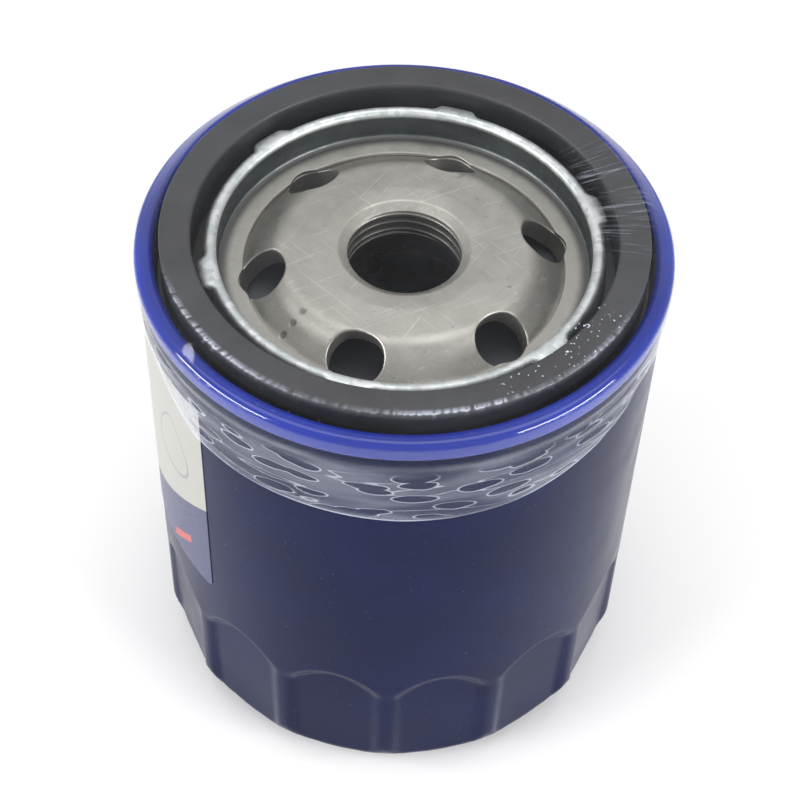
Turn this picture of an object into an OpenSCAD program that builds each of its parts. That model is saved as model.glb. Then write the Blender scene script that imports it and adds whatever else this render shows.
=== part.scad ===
// Spin-on oil filter, standing on its closed end with the sealing gasket and
// the threaded hole facing up. The origin is the middle of the closed end.
// Millimetres, +Z up, the front of the filter faces -Y.

/* [Can] */
// Height from the closed end to the top of the rolled seam
can_h = 84.3; // [80:0.1:95]
// Outer radius of the can's wall
can_r = 37.7; // [37.5:0.1:37.8]
// Thickness of the can's sheet steel
can_t = 0.5; // [0.4:0.05:0.55]
// Outer radius of the rolled seam
seam_r = 38.2; // [38.2:0.1:38.4]
// Number of wrench flutes round the closed end
flutes = 14; // [13:1:15]
// Depth of a flute at its middle
flute_depth = 1.4; // [1.2:0.1:1.6]
// Height of the flutes' arched tops
flute_top = 28; // [24:1:32]

/* [Lid and gasket] */
// Thickness of the seaming lid's sheet steel
lid_t = 0.55; // [0.5:0.01:0.55]
// Depth of the gasket groove below the top of the seam
groove_depth = 5; // [4.5:0.1:5.5]
// Outer radius of the crest that stands inside the gasket
crest_r = 28.41; // [28:0.01:28.8]
// Width of the crest across its two folded walls
crest_w = 1.75; // [1.6:0.01:1.9]
// Inner radius of the lid, where it ends on the base plate
lid_in_r = 23; // [22.6:0.1:23.4]
// How far the gasket stands above the seam
gasket_proud = 2.2; // [1.8:0.1:2.6]
// Inner radius of the gasket
gasket_in_r = 30.2; // [30:0.1:30.8]
// Outer radius of the gasket
gasket_out_r = 34.6; // [34:0.1:34.8]

/* [Base plate] */
// Thickness of the base plate
plate_t = 2.6; // [2.2:0.1:2.8]
// Height of the raised middle above the plate's flange
plate_rise = 3.75; // [3.4:0.05:4]
// Minor radius of the M18 x 1.5 mounting thread
thread_r = 8.19; // [8:0.01:8.4]
// Length of the thread's wall
thread_len = 4.5; // [4:0.5:5]
// Number of oil inlet holes
inlets = 6; // [6:1:6]
// Radius of an inlet hole's round sides
inlet_r = 3.2; // [3:0.1:3.3]
// How much wider an inlet hole is round the plate than across it
inlet_stretch = 1.6; // [1.2:0.1:1.8]
// Distance of the inlet holes from the axis
inlet_place_r = 20.4; // [20.2:0.1:20.6]

/* [Filter element] */
// Outer radius of the end caps
element_r = 33; // [32:0.1:33.5]
// Number of pleats in the filter paper
pleats = 58; // [48:1:64]
// Outer radius of the centre tube
tube_r = 14.7; // [14.5:0.1:15]
// How far the element can move towards the closed end
element_travel = 1.5; // [1:0.1:2]
// Lift of the bypass valve's disc when it is fully open
bypass_lift = 3.5; // [2.5:0.1:4]

/* [Label and wrap] */
// Angle that the label covers round the can
label_angle = 110; // [60:5:150]
// Height of the label
label_h = 41.5; // [30:0.5:42]
// Thickness of the shrink wrap
wrap_t = 0.3; // [0.25:0.01:0.4]
// Length of the wrap's skirt below the top of the seam
wrap_skirt = 15.8; // [10:0.1:18]

/* [Hidden] */
$fn = 96;

// Clearances: in the seam, between faces that only just clear, and for overcut
seam_gap = 0.03;
fit_gap = 0.1;
over = 1;

// Closed end of the can: flat pad, shallow cone and round corner
pad_r = 20;
corner_r = 7;
corner_start = 8;
pad_edge = [26, 0.25];
corner_c = [can_r - corner_r, corner_r + 1.2];

// Flutes: the arched run-out at the top of each, and how much deeper the foot is
runout_r = 7;
flute_foot = 0.35;
flute_w = 22;

// Radii of the layers of the rolled seam, from the outside in
seam_wall_in = seam_r - lid_t;
body_hook_out = seam_wall_in - seam_gap;
body_hook_in = body_hook_out - can_t;
cover_hook_out = body_hook_in - seam_gap;
cover_hook_in = cover_hook_out - lid_t;
neck_out = cover_hook_in - seam_gap;
neck_in = neck_out - can_t;
chuck_out = neck_in - seam_gap;
chuck_in = chuck_out - lid_t;

// Heights of the seam's layers
seam_under = can_h - 3.1;
lid_panel = can_h - lid_t;
body_panel = lid_panel - seam_gap;
body_hook_end = can_h - 2.35;
cover_hook_end = can_h - 1.3;
neck_start = can_h - 5.1;
neck_end = can_h - 3.6;

// Lid, base plate and gasket
groove_z = can_h - groove_depth;
lid_under = groove_z - lid_t;
crest_top = can_h - 0.2;
crest_mid = crest_r - crest_w / 2;
tab_r = 3.3;
tab_place_r = crest_r - 2.1;
notch_r = 2.9;
notch_place_r = inlet_place_r + 0.5;
inlet_turn = -107.5;
tab_turn = inlet_turn + 3.5;
plate_r = chuck_in - 0.1;
plate_top = lid_under + plate_rise;
plate_under = lid_under - plate_t;
collar_r = thread_r + 2.2;
thread_top = plate_top - 1;
thread_end = thread_top - thread_len;
relief_r = thread_r + 0.9;
collar_end = plate_top - 9.9;
weld_r = 1.6;
weld_t = 0.3;
weld_place_r = 32.3;
gasket_top = can_h + gasket_proud;
gasket_edge = 0.35;

// Filter element, from the anti-drainback valve down to the element spring,
// whose shortest length leaves room for the element's travel
valve_foot = collar_end - 1.2;
cap_t = 0.4;
bond_t = 0.8;
cap_rim = 2.9;
upper_cap_z = valve_foot - fit_gap;
element_spring_min = 13.9;
lower_cap_z = can_t + element_travel + element_spring_min;
media_top = upper_cap_z - cap_t - bond_t;
media_foot = lower_cap_z + cap_t + bond_t;
media_out_r = element_r - 0.7;
media_in_r = tube_r + 0.9;
pleat_fold = 5.6;
tube_t = 0.5;
tube_hole_r = 2;
tube_rows = 6;
tube_row_holes = 8;
cap_hole_r = 11;

// Bypass valve in the lower end cap; the strap stands clear of the spring's shortest length
housing_r = 11.95;
housing_t = 0.45;
seat_z = 12.5;
seat_hole_r = 6;
poppet_r = 8;
seal_t = 0.4;
disc_t = 0.55;
stem_r = 1.2;
strap_w = 6;
strap_x = 11.05;
strap_t = 0.5;
disc_foot = seat_z + 0.05 + seal_t;
bypass_wire = 0.9;
bypass_coil_r = 5.6;
bypass_spring_min = 6.6;
strap_z = disc_foot + disc_t + bypass_lift + bypass_spring_min;
element_wire = 1.6;

// Label and wrap
label_turn = 114;
label_t = 0.12;
label_foot = can_h - 50.3;
wrap_in = seam_r + 0.15;
wrap_top = gasket_top + fit_gap;

function arc(c, r, from, to, steps) = [
    for (i = [0:steps]) let (a = from + (to - from) * i / steps)
        [c[0] + r * cos(a), c[1] + r * sin(a)]
];

// A pleated ring's outline: folds between an outer and an inner radius
function pleat_line(outer, inner) = [
    for (i = [0:2 * pleats - 1]) let (a = 180 * i / pleats, r = i % 2 == 0 ? outer : inner)
        [r * cos(a), r * sin(a)]
];

// The can's solid outline, set in from the outer face
function can_outline(inset) = concat(
    [[0, inset], [pad_r, inset], [pad_edge[0], pad_edge[1] + inset]],
    arc(corner_c, corner_r - inset, corner_start - 90, 0, 10),
    [[can_r - inset, neck_start + (inset > 0 ? over : 0)],
     [0, neck_start + (inset > 0 ? over : 0)]]
);

// A flute's cutting outline, as distance from the axis and height
function flute_outline(inset) = let (
    floor_r = can_r - flute_depth - inset,
    mouth = acos(1 - flute_depth / runout_r),
    past = acos(1 - (flute_depth + over) / runout_r),
    c = [floor_r + runout_r, flute_top - runout_r * sin(mouth)]
) concat(
    [[floor_r - flute_foot, -over]],
    arc(c, runout_r, 180, 180 - past, 7),
    [[can_r + 4, flute_top + over], [can_r + 4, -over]]
);

// Rings of points round a coil spring whose radius runs from foot to head
function coil_rings(foot_r, head_r, foot_z, head_z, turns, wire, per_turn, sides) = [
    for (i = [0:turns * per_turn]) let (
        f = i / (turns * per_turn),
        a = 360 * f * turns,
        r = foot_r + (head_r - foot_r) * f,
        z = foot_z + (head_z - foot_z) * f
    ) for (s = [0:sides - 1]) let (b = 360 * s / sides, out = r + wire / 2 * cos(b))
        [out * cos(a), out * sin(a), z + wire / 2 * sin(b)]
];

module turned(points) {
    rotate_extrude() polygon(points);
}

module round_array(count, turn, place_r) {
    for (i = [0:count - 1])
        rotate([0, 0, turn + 360 * i / count]) translate([place_r, 0, 0]) children();
}

module coil(foot_r, head_r, foot_z, head_z, turns, wire, per_turn, sides) {
    rings = turns * per_turn + 1;
    points = coil_rings(foot_r, head_r, foot_z, head_z, turns, wire, per_turn, sides);
    walls = [
        for (i = [0:rings - 2]) for (s = [0:sides - 1]) let (n = (s + 1) % sides)
            [i * sides + s, i * sides + n, (i + 1) * sides + n, (i + 1) * sides + s]
    ];
    foot_face = [for (s = [0:sides - 1]) sides - 1 - s];
    head_face = [for (s = [0:sides - 1]) (rings - 1) * sides + s];
    polyhedron(points, concat(walls, [foot_face, head_face]));
}

module can_solid(inset) {
    difference() {
        turned(can_outline(inset));
        for (i = [0:flutes - 1])
            rotate([0, 0, -90 + 360 * (i + 0.5) / flutes]) rotate([90, 0, 0])
                linear_extrude(flute_w, center = true) polygon(flute_outline(inset));
    }
}

module can() {
    color("midnightblue") {
        difference() {
            can_solid(0);
            can_solid(can_t);
        }
        turned([
            [can_r - can_t, neck_start], [can_r, neck_start], [neck_out, neck_end],
            [neck_out, body_panel - can_t], [body_hook_in, body_panel - can_t],
            [body_hook_in, body_hook_end], [body_hook_out, body_hook_end],
            [body_hook_out, body_panel], [neck_in, body_panel], [neck_in, neck_end - 0.2]
        ]);
    }
}

module seam_sealant() {
    color("dimgray") {
        turned([
            [body_hook_in, seam_under + lid_t], [body_hook_out, seam_under + lid_t],
            [body_hook_out, body_hook_end], [body_hook_in, body_hook_end]
        ]);
        turned([
            [cover_hook_in, cover_hook_end], [cover_hook_out, cover_hook_end],
            [cover_hook_out, body_panel - can_t], [cover_hook_in, body_panel - can_t]
        ]);
    }
}

module lid_section() {
    crest_c = [crest_mid, crest_top - crest_w / 2];
    edge = 0.3;
    polygon(concat(
        [[lid_in_r, lid_under], [chuck_out - edge, lid_under], [chuck_out, lid_under + edge],
         [chuck_out, lid_panel], [seam_wall_in, lid_panel], [seam_wall_in, seam_under + lid_t],
         [cover_hook_out, seam_under + lid_t], [cover_hook_out, cover_hook_end],
         [cover_hook_in, cover_hook_end], [cover_hook_in, seam_under]],
        arc([seam_r - edge, seam_under + edge], edge, -90, 0, 3),
        arc([seam_r - 2 * edge, can_h - 2 * edge], 2 * edge, 0, 90, 4),
        arc([chuck_in + edge, can_h - edge], edge, 90, 180, 3),
        [[chuck_in, groove_z], [crest_r, groove_z]],
        arc(crest_c, crest_w / 2, 0, 180, 10),
        [[crest_r - crest_w, groove_z], [lid_in_r, groove_z]]
    ));
}

module lid_fold_gap() {
    crest_c = [crest_mid, crest_top - crest_w / 2];
    half = crest_w / 2 - lid_t;
    polygon(concat(
        [[crest_mid - half, lid_under - over], [crest_mid + half, lid_under - over]],
        arc(crest_c, half, 0, 180, 6)
    ));
}

module seaming_lid() {
    color("silver") difference() {
        union() {
            rotate_extrude() difference() {
                lid_section();
                lid_fold_gap();
            }
            intersection() {
                round_array(inlets, tab_turn, tab_place_r) cylinder(h = can_h + 9, r = tab_r);
                turned([
                    [crest_r - 0.3, crest_top - 2.6], [crest_r + 1.3, crest_top - 1.5],
                    [crest_r + 1.3, crest_top - 0.8], [crest_r + 0.6, crest_top - 0.3],
                    [crest_r - 0.3, crest_top - 0.3]
                ]);
            }
        }
        round_array(inlets, inlet_turn, notch_place_r)
            translate([0, 0, lid_under - over]) cylinder(h = lid_t + 2 * over, r = notch_r);
    }
}

module lid_welds() {
    color("slategray") round_array(inlets, inlet_turn + 180 / inlets, weld_place_r)
        translate([0, 0, lid_under - weld_t]) cylinder(h = weld_t, r = weld_r, $fn = 32);
}

module plate_section() {
    slope_foot = 22.9;
    slope_head = 18.5;
    brow = plate_top - 0.45;
    mouth_r = 1.1;
    polygon(concat(
        [[plate_r, plate_under], [plate_r, lid_under], [slope_foot, lid_under],
         [slope_foot - 0.5, lid_under + 0.2], [slope_head + 0.5, brow - 0.4],
         [slope_head - 0.3, brow], [16.6, plate_top - 0.2], [12.6, plate_top]],
        arc([thread_r + 1.7, plate_top - mouth_r], mouth_r, 90, 150, 5),
        [[thread_r, thread_top], [thread_r, thread_end], [relief_r, thread_end - 0.5],
         [relief_r, collar_end], [collar_r - 0.3, collar_end],
         [collar_r, collar_end + 0.3], [collar_r, plate_top - plate_t - 1.4],
         [collar_r + 1.2, plate_top - plate_t], [15.4, plate_top - plate_t - 0.2],
         [slope_head - 1.2, plate_top - plate_t - 0.7], [slope_foot - 1.6, plate_under + 0.2],
         [slope_foot - 1.1, plate_under]]
    ));
}

// One inlet hole's cutter, wider round the plate than across it
module inlet_cut() {
    tall = plate_t + plate_rise + 2 * over;
    translate([-inlet_r, -inlet_stretch / 2, 0]) cube([2 * inlet_r, inlet_stretch, tall]);
    for (side = [-1, 1])
        translate([0, side * inlet_stretch / 2, 0]) cylinder(h = tall, r = inlet_r);
}

module base_plate() {
    color("darkgray") difference() {
        rotate_extrude() plate_section();
        round_array(inlets, inlet_turn, inlet_place_r)
            translate([0, 0, plate_under - over]) inlet_cut();
        round_array(inlets, inlet_turn + 180 / inlets, weld_place_r)
            translate([0, 0, lid_under - weld_t]) cylinder(h = weld_t + over, r = weld_r, $fn = 32);
    }
}

module sealing_gasket() {
    color([0.15, 0.15, 0.16]) turned([
        [gasket_in_r + gasket_edge, groove_z], [gasket_out_r - gasket_edge, groove_z],
        [gasket_out_r, groove_z + gasket_edge], [gasket_out_r, gasket_top - gasket_edge],
        [gasket_out_r - gasket_edge, gasket_top], [gasket_in_r + gasket_edge, gasket_top],
        [gasket_in_r, gasket_top - gasket_edge], [gasket_in_r, groove_z + gasket_edge]
    ]);
}

module anti_drainback_valve() {
    hub_in = collar_r + fit_gap;
    color([0.2, 0.2, 0.22]) turned([
        [hub_in, valve_foot], [hub_in + 2.8, valve_foot], [hub_in + 2.8, valve_foot + 1.8],
        [hub_in + 4.2, plate_under - 2.1], [24.6, plate_under - 1.9],
        [26.9, plate_under - 0.9], [27.2, plate_under - 0.02], [26, plate_under - 0.02],
        [25.4, plate_under - 0.7], [24.2, plate_under - 1], [hub_in + 3, plate_under - 0.9],
        [hub_in + 0.3, plate_under - 0.7], [hub_in, plate_under - 1]
    ]);
}

module upper_end_cap() {
    foot = upper_cap_z - cap_t;
    color("tan") turned([
        [cap_hole_r, foot - 1.2], [cap_hole_r + cap_t, foot - 1.2], [cap_hole_r + cap_t, foot],
        [element_r - cap_t, foot], [element_r - cap_t, upper_cap_z - cap_rim],
        [element_r, upper_cap_z - cap_rim], [element_r, upper_cap_z - 0.3],
        [element_r - 0.3, upper_cap_z], [cap_hole_r, upper_cap_z]
    ]);
}

module cap_bond(z) {
    color("gold") turned([
        [tube_r + fit_gap, z], [element_r - cap_t, z],
        [element_r - cap_t, z + bond_t], [tube_r + fit_gap, z + bond_t]
    ]);
}

module upper_cap_bond() {
    cap_bond(media_top);
}

module lower_cap_bond() {
    cap_bond(lower_cap_z + cap_t);
}

module pleated_media() {
    color("wheat") translate([0, 0, media_foot]) linear_extrude(media_top - media_foot)
        difference() {
            polygon(pleat_line(media_out_r, media_in_r + pleat_fold));
            polygon(pleat_line(media_out_r - pleat_fold, media_in_r));
        }
}

// A folded strip that grips the two ends of the pleated paper
module media_seam_clip() {
    length = media_top - media_foot - 1;
    width = 1.5;
    leg = 4;
    wall = 0.3;
    slot = width - 2 * wall;
    color("silver") rotate([0, 0, 180 / pleats]) translate([media_in_r - 0.55, 0, media_foot + 0.5])
        difference() {
            translate([0, -width / 2, 0]) cube([0.5, width, length]);
            translate([wall, -slot / 2, -over]) cube([leg, slot, length + 2 * over]);
        }
}

module centre_tube() {
    foot = lower_cap_z + cap_t;
    tall = upper_cap_z - cap_t - foot;
    pitch = tall / (tube_rows + 0.5);
    color("lightsteelblue") difference() {
        turned([
            [tube_r - tube_t, foot], [tube_r, foot], [tube_r, foot + tall],
            [tube_r - tube_t, foot + tall]
        ]);
        for (row = [0:tube_rows - 1]) for (i = [0:tube_row_holes / 2 - 1])
            rotate([0, 0, (i + row % 2 / 2) * 360 / tube_row_holes])
                translate([0, 0, foot + pitch * (row + 0.75)]) rotate([0, 90, 0])
                    cylinder(h = 2 * tube_r + 2 * over, r = tube_hole_r, center = true, $fn = 32);
    }
}

module lower_end_cap() {
    top = lower_cap_z + cap_t;
    color("tan") turned([
        [housing_r + 0.05, lower_cap_z], [element_r - 0.3, lower_cap_z],
        [element_r, lower_cap_z + 0.3], [element_r, lower_cap_z + cap_rim],
        [element_r - cap_t, lower_cap_z + cap_rim], [element_r - cap_t, top],
        [housing_r + 0.05, top]
    ]);
}

module bypass_housing() {
    flange_z = lower_cap_z + cap_t;
    flange_r = tube_r - tube_t - fit_gap;
    color("lightgray") turned([
        [seat_hole_r, seat_z - housing_t], [housing_r - 0.3, seat_z - housing_t],
        [housing_r, seat_z - housing_t + 0.3], [housing_r, flange_z], [flange_r, flange_z],
        [flange_r, flange_z + cap_t], [housing_r - housing_t, flange_z + cap_t],
        [housing_r - housing_t, seat_z], [seat_hole_r + 0.8, seat_z], [seat_hole_r, seat_z]
    ]);
}

module bypass_seal() {
    color([0.12, 0.12, 0.12]) turned([
        [seat_hole_r - 1, seat_z + 0.05], [poppet_r + 0.2, seat_z + 0.05],
        [poppet_r + 0.2, disc_foot], [seat_hole_r - 1, disc_foot]
    ]);
}

module bypass_disc() {
    stem_top = strap_z + strap_t + 1.6;
    top = disc_foot + disc_t;
    color("silver") turned([
        [0, disc_foot], [poppet_r - 0.1, disc_foot], [poppet_r, disc_foot + 0.1],
        [poppet_r, top - 0.1], [poppet_r - 0.1, top], [stem_r + 1.2, top],
        [stem_r, top + 1.2], [stem_r, stem_top - 0.3], [stem_r - 0.3, stem_top], [0, stem_top]
    ]);
}

module bypass_spring() {
    half = bypass_wire / 2 + 0.03;
    color("gainsboro") coil(bypass_coil_r, bypass_coil_r, disc_foot + disc_t + half,
        strap_z - half, 4.5, bypass_wire, 20, 6);
}

// A bridge strap that holds the head of the bypass spring and guides the stem
module bypass_retainer() {
    foot = disc_foot + 3.2;
    leg = strap_z + strap_t - foot;
    color("silver") difference() {
        union() {
            translate([-strap_x, -strap_w / 2, strap_z]) cube([2 * strap_x, strap_w, strap_t]);
            for (side = [0, 180]) rotate([0, 0, side])
                translate([strap_x - strap_t, -strap_w / 2, foot]) cube([strap_t, strap_w, leg]);
        }
        translate([0, 0, strap_z - over]) cylinder(h = strap_t + 2 * over, r = stem_r + 0.15, $fn = 32);
    }
}

module element_spring() {
    half = element_wire / 2 + 0.03;
    color("gainsboro") coil(16.8, housing_r + 1.7, can_t + half,
        lower_cap_z - half, 3, element_wire, 24, 8);
}

module label() {
    color("ivory") rotate([0, 0, label_turn]) rotate_extrude(angle = label_angle)
        translate([can_r + 0.01, label_foot]) square([label_t, label_h]);
}

module shrink_wrap() {
    shoulder_r = gasket_out_r + 0.2;
    foot = can_h - wrap_skirt;
    color("aliceblue", 0.4) turned([
        [0, wrap_top], [shoulder_r, wrap_top], [wrap_in, can_h + 0.2], [wrap_in, foot],
        [wrap_in + wrap_t, foot], [wrap_in + wrap_t, can_h + 0.4],
        [shoulder_r + 0.1, wrap_top + wrap_t], [0, wrap_top + wrap_t]
    ]);
}

can();
seam_sealant();
seaming_lid();
lid_welds();
base_plate();
sealing_gasket();
anti_drainback_valve();
upper_end_cap();
upper_cap_bond();
pleated_media();
media_seam_clip();
centre_tube();
lower_cap_bond();
lower_end_cap();
bypass_housing();
bypass_seal();
bypass_disc();
bypass_spring();
bypass_retainer();
element_spring();
label();
shrink_wrap();
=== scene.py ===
import math

import bmesh
import bpy
import numpy as np
from mathutils import Matrix, Vector, noise


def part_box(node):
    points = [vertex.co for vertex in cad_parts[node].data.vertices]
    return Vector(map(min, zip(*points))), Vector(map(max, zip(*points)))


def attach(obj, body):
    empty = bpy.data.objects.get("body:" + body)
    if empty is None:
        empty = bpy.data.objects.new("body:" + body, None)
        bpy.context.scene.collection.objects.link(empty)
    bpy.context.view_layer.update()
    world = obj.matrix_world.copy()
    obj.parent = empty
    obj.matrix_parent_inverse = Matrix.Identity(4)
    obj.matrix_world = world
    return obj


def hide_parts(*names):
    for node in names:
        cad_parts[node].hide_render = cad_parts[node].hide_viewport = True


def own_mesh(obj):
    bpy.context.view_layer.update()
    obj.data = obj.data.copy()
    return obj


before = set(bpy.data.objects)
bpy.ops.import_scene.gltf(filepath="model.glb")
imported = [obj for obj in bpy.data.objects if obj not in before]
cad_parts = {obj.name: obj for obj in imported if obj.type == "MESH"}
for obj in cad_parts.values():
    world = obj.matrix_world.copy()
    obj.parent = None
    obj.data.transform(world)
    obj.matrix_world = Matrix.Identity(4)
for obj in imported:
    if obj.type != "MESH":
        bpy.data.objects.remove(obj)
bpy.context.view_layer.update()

# Sizes below are millimetres, and become metres where a mesh is made. An angle
# round the filter is counted from its front, -Y, towards +X.
MM = 0.001


def cad(node, corner, axis):
    """One coordinate of a CAD node's box, in millimetres."""
    return round(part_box(node)[corner][axis] / MM, 2)


CAN_R = cad("can", 1, 0)
CAN_T = 0.5
SEAM_R = cad("seaming_lid", 1, 0)
SEAM_TOP = cad("seaming_lid", 1, 2)
LID_T = 0.55
LID_UNDER = cad("seaming_lid", 0, 2)
GROOVE_Z = cad("sealing_gasket", 0, 2)
GASKET_TOP = cad("sealing_gasket", 1, 2)
GASKET_OUT = cad("sealing_gasket", 1, 0)
GASKET_IN = 30.2
CREST_OUT = 28.41
CREST_IN = 26.66
CREST_TOP = SEAM_TOP - 0.2
TAB_REACH = 1.15
LID_IN = 23.0
PLATE_R = cad("base_plate", 1, 0)
PLATE_TOP = cad("base_plate", 1, 2)
COLLAR_END = cad("base_plate", 0, 2)
PLATE_UNDER = LID_UNDER - 2.6
THREAD_MINOR = 8.19
THREAD_DEPTH = 0.85
THREAD_PITCH = 1.5
THREAD_LENGTH = 4.5
COLLAR_R = THREAD_MINOR + 2.2
RELIEF_R = THREAD_MINOR + 0.9
INLETS = 6
INLET_ACROSS = 3.2
INLET_AROUND = 4.0
INLET_PLACE_R = 20.4
INLET_ANGLE = -17.5
FLUTES = 14
FLUTE_DEPTH = 1.4
FLUTE_TOP = 28.0
LABEL_FIRST = -156.0
LABEL_LAST = -46.0
WRAP_R = cad("shrink_wrap", 1, 0)
WRAP_TOP = cad("shrink_wrap", 1, 2)


def smooth(low, high, x):
    """Rises smoothly from 0 at low to 1 at high; low may be the larger."""
    t = np.clip((x - low) / (high - low), 0.0, 1.0)
    return t * t * (3 - 2 * t)


def turn_gap(angle, centre):
    """How far angle is from centre, in degrees, either way round."""
    return (angle - centre + 180.0) % 360.0 - 180.0


def ring_angles(columns, start=0.0):
    return start + np.arange(columns) * 360.0 / columns


def place(r, angle, z):
    """Points from their distance to the axis, angle from the front and height."""
    r, angle, z = np.broadcast_arrays(r, np.radians(angle), z)
    return np.stack([r * np.sin(angle), -r * np.cos(angle), z], axis=-1)


def filleted(corners, closed=True, step=15.0):
    """An outline of (r, z) points from corners (r, z, fillet radius)."""
    out = []
    count = len(corners)
    for i, corner in enumerate(corners):
        here = np.array(corner[:2], float)
        radius = corner[2] if len(corner) > 2 else 0.0
        end = not closed and i in (0, count - 1)
        if radius <= 0 or end:
            out.append(here)
            continue
        before = np.array(corners[i - 1][:2], float) - here
        after = np.array(corners[(i + 1) % count][:2], float) - here
        before /= np.linalg.norm(before)
        after /= np.linalg.norm(after)
        half = math.acos(np.clip(before @ after, -1, 1)) / 2
        middle = before + after
        centre = here + middle / np.linalg.norm(middle) * radius / math.sin(half)
        first = here + before * radius / math.tan(half) - centre
        last = here + after * radius / math.tan(half) - centre
        sweep = math.pi - 2 * half
        steps = max(2, round(math.degrees(sweep) / step))
        for k in range(steps + 1):
            f = k / steps
            weights = math.sin((1 - f) * sweep), math.sin(f * sweep)
            out.append(centre + (first * weights[0] + last * weights[1]) / math.sin(sweep))
    return np.array(out)


def grid_faces(rows, cols, close_rows, close_cols, base):
    """Quads over a grid of points, the first of which is point number base."""
    i = np.arange(rows if close_rows else rows - 1)[:, None]
    j = np.arange(cols if close_cols else cols - 1)[None, :]
    i2, j2 = (i + 1) % rows, (j + 1) % cols
    corners = [i * cols + j, i * cols + j2, i2 * cols + j2, i2 * cols + j]
    quads = np.stack(np.broadcast_arrays(*corners), axis=-1).reshape(-1, 4)
    return quads + base


def mesh_object(name, grids, sharp_deg=40.0, **layers):
    """One smooth mesh from point grids, each (points, close_rows, close_cols).

    A layer is a point attribute: one value for each point of the grids."""
    points, faces, base = [], [], 0
    for grid, close_rows, close_cols in grids:
        rows, cols = grid.shape[:2]
        points.append(grid.reshape(-1, 3) * MM)
        faces.append(grid_faces(rows, cols, close_rows, close_cols, base))
        base += rows * cols
    mesh = bpy.data.meshes.new(name)
    mesh.from_pydata(np.concatenate(points).tolist(), [], np.concatenate(faces).tolist())
    for layer, values in layers.items():
        attribute = mesh.attributes.new(layer, "FLOAT", "POINT")
        attribute.data.foreach_set("value", values.reshape(-1).astype(np.float32))
    bm = bmesh.new()
    bm.from_mesh(mesh)
    bmesh.ops.remove_doubles(bm, verts=bm.verts, dist=2e-6)
    bmesh.ops.dissolve_degenerate(bm, edges=bm.edges, dist=1e-7)
    bm.to_mesh(mesh)
    bm.free()
    mesh.shade_smooth()
    mesh.set_sharp_from_angle(angle=math.radians(sharp_deg))
    obj = bpy.data.objects.new(name, mesh)
    bpy.context.scene.collection.objects.link(obj)
    return obj


def lathe(outline, angles):
    """A grid of a turned outline: one row a point, one column an angle."""
    return place(outline[:, :1], angles, outline[:, 1:])


# ---------------------------------------------------------------- materials


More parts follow.
